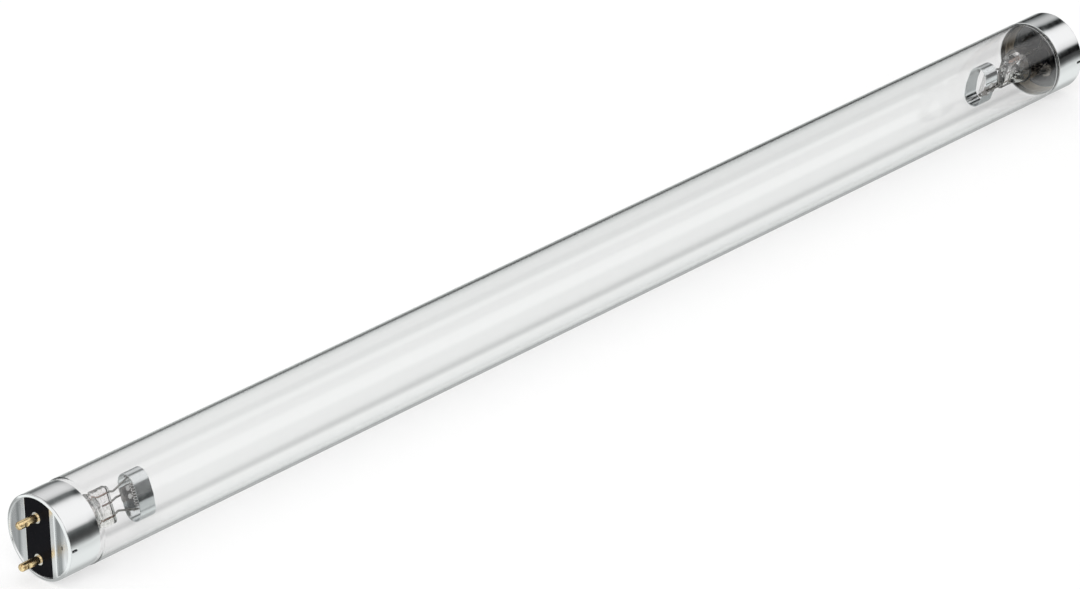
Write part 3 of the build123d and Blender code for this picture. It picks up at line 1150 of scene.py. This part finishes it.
@dataclass
class CapShell(EndPiece):
    """The drawn aluminium cup: rolled rim, pressed face with lips beside the bar, and skirt.

    Attributes:
        outline: Depth and radius of the outer corners, with how far each is rounded.
        skirt_radius: The radius of the skirt.
        mouth: The depth in front of which an open edge is the rim's and not the skirt's.
        wall: The thickness of the sheet.
        plate_radius: The radius of the pressed face.
        bar_slot: Half the width of the slot for the bar.
        lip_width: The width of the lip on each side of the slot.
        lip_height: How high the lips stand.
        lip_round: How far their edges at the slot are rounded.
        lip_slope: How far their outer edges are rounded.
        lip_steps: How many facets round those edges.
        rim_inner: The radius of the rim's inner edge, at which the lips end.
        rim_near: How near the face's edge a point is moved to the rim.
        turn_steps: How many facets go round.
        corner_steps: How many facets round a corner.
    """

    name: str = "drawn_shell"
    node: str = "cap_shell"
    slot: str = "cap_aluminium"
    finish: Finish = DrawnAluminium("cap_aluminium")
    crease: float = 35.0
    turn: float = 0.0
    outline: tuple[Corner, ...] = (
        (11.1, 12.53, 0.0),
        (8.9, 12.65, 1.1),
        (3.2, 12.65, 0.0),
        (0.9, 12.65, 0.0),
        (0.24, 12.65, 0.24),
        (-0.03, 11.78, 0.12),
        (0.45, 11.46, 0.0),
    )
    skirt_radius: float = 12.65
    mouth: float = 1.0
    wall: float = 0.3
    plate_radius: float = 11.46
    bar_slot: float = 4.95
    lip_width: float = 1.75
    lip_height: float = 0.4
    lip_round: float = 0.12
    lip_slope: float = 0.3
    lip_steps: int = 5
    rim_inner: float = 11.75
    rim_near: float = 0.05
    turn_steps: int = 160
    corner_steps: int = 8

    @property
    def front(self) -> float:
        """The depth of the pressed face."""
        return self.outline[-1][0]

    def press_face(self, shape: Shape) -> None:
        """Closes the rim with the face, cuts that along both sides of each lip and opens the slot.

        Args:
            shape: The turned cup.
        """
        mouth = [
            e for e in shape.edges if e.is_boundary and all(v.co.x < self.mouth for v in e.verts)
        ]
        face = bmesh.ops.edgeloop_fill(shape, edges=mouth)["faces"]
        lip_end = self.bar_slot + self.lip_width
        for place in (-lip_end, -self.bar_slot, self.bar_slot, lip_end):
            geometry = {part for plate in face for part in (plate, *plate.edges, *plate.verts)}
            bmesh.ops.bisect_plane(
                shape, geom=list(geometry), dist=MERGE, plane_co=(0, place, 0), plane_no=(0, 1, 0)
            )
            face = [f for f in shape.faces if abs(f.calc_center_median().x - self.front) < TOUCH]
        middle = [f for f in face if abs(f.calc_center_bounds().y) < TOUCH]
        bmesh.ops.delete(shape, geom=middle, context="FACES_ONLY")

    def raise_lips(self, shape: Shape) -> None:
        """Raises the strips beside the slot and rounds their edges.

        Args:
            shape: The cup with its face.
        """
        lip_middle = self.bar_slot + self.lip_width / 2
        strips = [
            f
            for f in shape.faces
            if abs(f.calc_center_bounds().x - self.front) < TOUCH
            and abs(abs(f.calc_center_bounds().y) - lip_middle) < self.lip_width / 4
        ]
        raised = bmesh.ops.extrude_face_region(shape, geom=strips)["geom"]
        for vertex in (v for v in raised if isinstance(v, bmesh.types.BMVert)):
            vertex.co.x -= self.lip_height
            across, up = vertex.co.y, vertex.co.z
            if math.hypot(across, up) > self.plate_radius - self.rim_near:
                vertex.co.z = math.copysign(math.sqrt(self.rim_inner**2 - across**2), up)
        bmesh.ops.delete(shape, geom=[f for f in strips if f.is_valid], context="FACES")
        top, lip_end = self.front - self.lip_height, self.bar_slot + self.lip_width
        for place, reach in ((self.bar_slot, self.lip_round), (lip_end, self.lip_slope)):
            edges = [
                e
                for e in shape.edges
                if all(abs(v.co.x - top) < TOUCH and abs(abs(v.co.y) - place) < TOUCH for v in e.verts)
            ]
            bevel(shape, edges, reach, "EDGES", self.lip_steps)

    def shape(self) -> Shape:
        """Draws the cup and stakes each flank of its skirt and each half of its face.

        Returns:
            The cup.
        """
        cup = turned(list(self.outline), self.corner_steps, self.turn_steps)
        self.press_face(cup)
        bmesh.ops.recalc_face_normals(cup, faces=cup.faces)
        bmesh.ops.solidify(cup, geom=list(cup.faces), thickness=self.wall)
        self.raise_lips(cup)
        for way in (-1, 1):
            flank = Vector((SKIRT_MARK.place, way * self.skirt_radius, 0))
            SKIRT_MARK.press(cup, flank, Vector((0, way, 0)), Vector((1, 0, 0)))
            half = Vector((self.front, way * FACE_MARK.place, 0))
            FACE_MARK.press(cup, half, Vector((-1, 0, 0)), Vector((0, 0, 1)))
        return cup


@dataclass
class Filament(EndPiece):
    """A tungsten coil whose wire is itself a fine coil.

    Attributes:
        depth: The depth of the coil's axis.
        axis_across: Where the coil's axis lies across the mount.
        coil_radius: The radius of the coil, to the middle of its wire.
        coil_length: The length of the coil.
        coil_turns: Its number of turns.
        coil_steps: How many steps of the line a turn has.
        tail_end: How far up each tail reaches.
        path_step: The length of the line's steps along a tail.
        rounds: How often the line is rounded.
        winding_radius: The radius of the fine winding, to the middle of its wire.
        winding_pitch: The length of one turn of the fine winding.
        winding_steps: How many facets a turn of the winding has.
        wire_radius: The radius of the fine wire.
        wire_sides: How many sides the fine wire has.
    """

    name: str = "coiled_filament"
    node: str = "filament"
    slot: str = "filament_tungsten"
    finish: Finish = COATED_TUNGSTEN
    depth: float = 34.7
    axis_across: float = -0.06
    coil_radius: float = 0.5
    coil_length: float = 8.0
    coil_turns: int = 10
    coil_steps: int = 64
    tail_end: float = 5.5
    path_step: float = 0.05
    rounds: int = 3
    winding_radius: float = 0.088
    winding_pitch: float = 0.085
    winding_steps: int = 10
    wire_radius: float = 0.03
    wire_sides: int = 5

    def path(self) -> list[Vector]:
        """Draws the middle line of the winding.

        Returns:
            Its points over tail, coil and tail, as depth, across and up.
        """
        half, tail = self.coil_length / 2, self.axis_across + self.coil_radius
        before, after = (
            stepped([Vector((self.depth, tail, up)) for up in run], self.path_step)
            for run in ((-self.tail_end, -half), (half, self.tail_end))
        )
        steps = self.coil_steps * self.coil_turns
        coil = []
        for i in range(1, steps):
            angle = 2 * math.pi * self.coil_turns * i / steps
            depth = self.depth + self.coil_radius * math.sin(angle)
            across = self.axis_across + self.coil_radius * math.cos(angle)
            coil.append(Vector((depth, across, -half + self.coil_length * i / steps)))
        return softened(before + coil + after, self.rounds)

    def winding(self, length: float) -> Shape:
        """Winds the fine wire into a straight coil along Z.

        Args:
            length: The coil's length.

        Returns:
            The coil.
        """
        turns, shape = length / self.winding_pitch, bmesh.new()
        bmesh.ops.create_grid(
            shape, x_segments=int(turns * self.winding_steps), y_segments=self.wire_sides, size=0.5
        )
        for vertex in shape.verts:
            along, round_wire = vertex.co.x + 0.5, 2 * math.pi * (vertex.co.y + 0.5)
            turn = 2 * math.pi * turns * along
            radius = self.winding_radius + self.wire_radius * math.cos(round_wire)
            height = length * along + self.wire_radius * math.sin(round_wire)
            vertex.co = (radius * math.cos(turn), radius * math.sin(turn), height)
        bmesh.ops.remove_doubles(shape, verts=shape.verts, dist=MERGE)
        bmesh.ops.holes_fill(shape, edges=[e for e in shape.edges if e.is_boundary], sides=0)
        return shape

    def bend(self, shape: Shape, points: list[Vector]) -> None:
        """Bends a straight coil along a line.

        Args:
            shape: The coil, which runs up from Z = 0.
            points: The line, which the coil's Z follows.
        """
        reached, normals = [0.0], [Vector((0, 1, 0))]
        for a, b, c in zip(points, points[1:], points[2:] + [points[-1]]):
            reached.append(reached[-1] + (b - a).length)
            along = (c - a).normalized()
            kept = normals[-1] - along * normals[-1].dot(along)
            normals.append(kept.normalized())
        index = 0
        for vertex in sorted(shape.verts, key=lambda v: v.co.z):
            while index < len(points) - 2 and reached[index + 1] < vertex.co.z:
                index += 1
            a, b = points[index], points[index + 1]
            share = (vertex.co.z - reached[index]) / (reached[index + 1] - reached[index])
            along = (b - a).normalized()
            normal = normals[index].lerp(normals[index + 1], min(1.0, max(0.0, share)))
            normal = (normal - along * normal.dot(along)).normalized()
            side = along.cross(normal)
            vertex.co = a.lerp(b, share) + normal * vertex.co.x + side * vertex.co.y

    def shape(self) -> Shape:
        """Winds the fine wire and bends the winding.

        Returns:
            The filament.
        """
        points = self.path()
        wound = self.winding(sum((b - a).length for a, b in zip(points, points[1:])))
        self.bend(wound, points)
        return wound


@dataclass
class Shield(EndPiece):
    """The strip bent round a filament, with lapped and welded ends.

    Attributes:
        near_depth: The depth of the strip's nearer edge.
        width: The width of the strip.
        thickness: Its thickness.
        back: Where the back wall lies across the mount.
        front: Where the ends of the front wall lie across the mount.
        top: How far up the walls are straight.
        low: How far down they are straight.
        rise: How far the upper and the lower end stand beyond that.
        lean: How far further out the front wall starts at its upper end.
        bulge: Points of the front wall from its lower end: how far out, and how far up.
        lap: The upper and the lower end of the lap.
        lap_step: How far the outer end lies behind the inner one.
        lap_bend: How far above the lap the strip starts and ends to step out.
        weld_places: How far up each weld lies.
        weld_radius: The radius of a weld.
        weld_dent: How deep a weld is pressed.
        weld_reach: How many radii its heat tint and its dent reach.
        lap_heat: How strong the heat tint of the whole lap is, and how far past it that fades.
        edge: How far the strip's edges are rounded.
        edge_steps: How many facets round them.
        edge_angle: The angle in degrees from which an edge is rounded.
        step: The length of the mesh's steps along the strip.
        rounds: How often the strip's line is rounded.
        arc_steps: How many steps a round end has.
        width_steps: How many steps go across the strip.
    """

    name: str = "welded_shield"
    node: str = "cathode_shield"
    slot: str = "shield_iron"
    finish: Finish = ShieldStrip("shield_strip")
    crease: float = 50.0
    near_depth: float = 32.6
    width: float = 5.6
    thickness: float = 0.25
    back: float = 2.975
    front: float = -3.375
    top: float = 2.4
    low: float = -4.6
    rise: tuple[float, float] = (3.775, 3.175)
    lean: float = 0.29
    bulge: tuple[tuple[float, float], ...] = ((0.47, -1.9), (0.47, -1.3), (0.385, 0.9))
    lap: tuple[float, float] = (1.55, -2.05)
    lap_step: float = 0.28
    lap_bend: tuple[float, float] = (1.2, 0.6)
    weld_places: tuple[float, float] = (0.95, -1.45)
    weld_radius: float = 0.62
    weld_dent: float = 0.07
    weld_reach: tuple[float, float] = (3.2, 1.3)
    lap_heat: tuple[float, float] = (0.5, 0.5)
    edge: float = 0.05
    edge_steps: int = 2
    edge_angle: float = 60.0
    step: float = 0.16
    rounds: int = 6
    arc_steps: int = 40
    width_steps: int = 34

    def arc(self, way: int) -> list[Vector]:
        """Draws one round end.

        Args:
            way: -1 for the lower end, which starts at the back wall, or 1 for the upper one.

        Returns:
            Its points as across and up.
        """
        front = self.front - (self.lean if way > 0 else 0.0)
        middle, reach = (self.back + front) / 2, (self.back - front) / 2
        height, rise = (self.top, self.rise[0]) if way > 0 else (self.low, self.rise[1])
        points = []
        for i in range(self.arc_steps + 1):
            angle = math.pi * i / self.arc_steps
            up = height + way * rise * math.sin(angle)
            points.append(Vector((middle + reach * math.cos(angle), up, 0)))
        return points[::-way]

    def section(self) -> list[Vector]:
        """Draws the strip's middle line.

        Returns:
            Its points as across and up, from the inner end of the lap.
        """
        upper, lower = self.lap
        outer = self.back + self.lap_step
        corners = [
            Vector((self.back, upper, 0)),
            *self.arc(-1),
            *(Vector((self.front - out, up, 0)) for out, up in self.bulge),
            *self.arc(1),
            Vector((self.back, upper + self.lap_bend[0], 0)),
            Vector((outer, upper + self.lap_bend[1], 0)),
            Vector((outer, lower, 0)),
        ]
        return softened(stepped(corners, self.step), self.rounds)

    def press_welds(self, shape: Shape) -> None:
        """Dents the lapped ends at each weld and marks the weld's heat.

        Args:
            shape: The strip.
        """
        mark = shape.verts.layers.float.new(WELD)
        seam, middle = self.back + self.lap_step / 2, self.near_depth + self.width / 2
        upper, lower = self.lap
        heat, fade = self.lap_heat
        tint_reach, dent_reach = (reach * self.weld_radius for reach in self.weld_reach)
        for vertex in shape.verts:
            depth, across, up = vertex.co
            if across < seam - self.lap_step - self.thickness:
                continue
            off = min(math.hypot(depth - middle, up - place) for place in self.weld_places)
            past_lap = max(up - upper, lower - up, 0.0)
            vertex[mark] = max(1 - ease(off / tint_reach), heat * (1 - ease(past_lap / fade)))
            pressed = self.weld_dent * (1 - ease(off / dent_reach))
            vertex.co.y += pressed if across < seam else -pressed

    def shape(self) -> Shape:
        """Bends, thickens and welds the strip.

        Returns:
            The shield.
        """
        line, strip = self.section(), bmesh.new()
        bmesh.ops.create_grid(
            strip, x_segments=len(line) - 1, y_segments=self.width_steps, size=0.5
        )
        for vertex in strip.verts:
            place = line[round((vertex.co.x + 0.5) * (len(line) - 1))]
            depth = self.near_depth + self.width * (vertex.co.y + 0.5)
            vertex.co = (depth, place.x, place.y)
        bmesh.ops.recalc_face_normals(strip, faces=strip.faces)
        for vertex, normal in [(v, v.normal.copy()) for v in strip.verts]:
            vertex.co += normal * (self.thickness / 2)
        bmesh.ops.solidify(strip, geom=list(strip.faces), thickness=self.thickness)
        sharp = math.radians(self.edge_angle)
        rims = [e for e in strip.edges if e.is_manifold and e.calc_face_angle() > sharp]
        bevel(strip, rims, self.edge, "EDGES", self.edge_steps)
        self.press_welds(strip)
        return strip


@dataclass(frozen=True)
class SoftBox:
    """A square lamp that hangs over the object and isn't seen itself.

    Attributes:
        name: Its name.
        place: Where its middle hangs.
        size: The length of its sides.
        power: Its power in watts.
    """

    name: str
    place: tuple[float, float, float]
    size: float
    power: float

    def build(self) -> None:
        """Hangs the lamp and turns it to the origin."""
        light = bpy.data.lights.new(self.name, "AREA")
        light.shape = "SQUARE"
        light.size = self.size
        light.energy = self.power
        box = bpy.data.objects.new(self.name, light)
        box.location = self.place
        box.rotation_mode = "QUATERNION"
        box.rotation_quaternion = (-Vector(self.place)).to_track_quat("-Z", "Y")
        for rays in ("camera", "glossy", "transmission"):
            setattr(box, f"visible_{rays}", False)
        bpy.context.scene.collection.objects.link(box)


@dataclass
class Studio:
    """A white room with soft boxes, of which only reflections show the dark gaps.

    Directions are unit vectors.

    Attributes:
        fill: The strength of the even light on the object.
        room: What reflections show, by the angle about X from +Y over the top, in degrees.
        room_tint: The colour of the room's dark gaps.
        tinted: How white the room is, by how much reflections show of it.
        gaps: The power that deepens the gaps, by the X of a direction.
        ahead: Where the room in front of the near cap starts, by the X of a direction.
        ahead_room: What reflections show of it.
        floor: The floor's finish.
        floor_size: The floor's width.
        boxes: The lamps that shape the matt surfaces.
    """

    fill: float = 0.78
    room: tuple[Stop, ...] = (
        (0.0, 0.13), (8.0, 0.15), (12.0, 0.31), (22.0, 0.52), (34.0, 0.70), (45.0, 0.77),
        (57.0, 0.74), (66.0, 0.50), (69.0, 0.16), (80.0, 0.12), (84.0, 0.30), (89.0, 0.75),
        (96.0, 0.95), (107.0, 1.0), (137.0, 1.0), (149.0, 0.95), (157.0, 0.86), (161.0, 0.58),
        (165.0, 0.17), (173.0, 0.07), (180.0, 0.05),
    )
    room_tint: Color = (0.94, 1.0, 1.0)
    tinted: Ramp = ((0.1, 0.0), (0.6, 1.0))
    gaps: Ramp = ((0.60, 1.0), (0.70, 2.2))
    ahead: Ramp = ((-0.78, 1.0), (-0.72, 0.0))
    ahead_room: float = 0.98
    floor: Finish = PaleFloor("pale_floor")
    floor_size: float = 40.0
    boxes: tuple[SoftBox, ...] = (
        SoftBox("key_softbox", (-0.7, -0.5, 1.1), 0.9, 5.0),
        SoftBox("fill_softbox", (0.6, 0.7, 1.2), 1.2, 3.0),
    )

    def build_room(self) -> None:
        """Makes the world: white to the eye, soft boxes to reflections, even to matt surfaces."""
        world = bpy.data.worlds.new("studio_room")
        world.use_nodes = True
        bpy.context.scene.world = world
        graph = ShaderGraph(world.node_tree)
        _, (along, across, up) = graph.axes("Generated")
        degrees = graph.product(graph.math("ARCTAN2", up, across), math.degrees(1))
        deepen = graph.spread(along, *self.gaps, smooth=True)
        behind = graph.math("POWER", graph.levels(degrees, self.room), deepen)
        in_front = graph.spread(along, *self.ahead, smooth=True)
        level = graph.math(
            "ADD",
            graph.product(behind, graph.math("SUBTRACT", 1.0, in_front)),
            graph.product(in_front, self.ahead_room),
        )
        tint = graph.blend(graph.spread(level, *self.tinted), self.room_tint, WHITE)
        chosen = graph.by_ray(
            graph.shader("Background", Color=WHITE),
            graph.shader("Background", Color=tint, Strength=level),
            graph.shader("Background", Color=WHITE, Strength=self.fill),
        )
        graph.add("OutputWorld", {"Surface": chosen.outputs[0]})

    def build_floor(self) -> None:
        """Makes the floor that the lamp lies on."""
        shape = bmesh.new()
        bmesh.ops.create_grid(shape, x_segments=1, y_segments=1, size=self.floor_size / 2)
        mesh = bpy.data.meshes.new("floor")
        shape.to_mesh(mesh)
        shape.free()
        mesh.materials.append(self.floor.material())
        floor = bpy.data.objects.new("floor", mesh)
        floor.location = (0, 0, -TUBE_RADIUS)
        bpy.context.scene.collection.objects.link(floor)

    def build(self) -> None:
        """Makes the room, the floor and the lamps."""
        self.build_room()
        self.build_floor()
        for box in self.boxes:
            box.build()
        bpy.context.scene.view_settings.view_transform = "Standard"


@dataclass
class ViewCamera:
    """The camera at the photograph's viewing angle.

    Attributes:
        place: Where it stands.
        right: The direction of the picture's right edge.
        up: The direction of the picture's upper edge.
        lens: The focal length in millimetres.
        sensor: The width of the sensor in millimetres.
        clip: The nearest and the farthest distance that it sees.
    """

    place: tuple[float, float, float] = (-1.05015179, -0.97830754, 0.68840968)
    right: tuple[float, float, float] = (0.68296519, -0.73024664, -0.01727390)
    up: tuple[float, float, float] = (0.32912949, 0.28653550, 0.89976174)
    lens: float = 180.0
    sensor: float = 36.0
    clip: tuple[float, float] = (0.05, 200.0)

    def build(self) -> None:
        """Adds the camera and makes it the scene's."""
        right, up = Vector(self.right).normalized(), Vector(self.up).normalized()
        data = bpy.data.cameras.new("view_camera")
        data.lens = self.lens
        data.sensor_width = self.sensor
        data.clip_start, data.clip_end = self.clip
        camera = bpy.data.objects.new("view_camera", data)
        axes = Matrix((right, up, right.cross(up))).transposed().to_4x4()
        camera.matrix_world = Matrix.Translation(self.place) @ axes
        bpy.context.scene.collection.objects.link(camera)
        bpy.context.scene.camera = camera


def main(frame: dict) -> None:
    """Builds the lamp and the studio.
    """
    lamp = Lamp(frame)
    for assembly in (Envelope(), CapShell(), Fittings(), Filament(), Shield()):
        assembly.build(lamp)
    Studio().build()
    ViewCamera().build()


if __name__ == "__main__":
    logging.basicConfig(level=logging.INFO)
    main(frame)
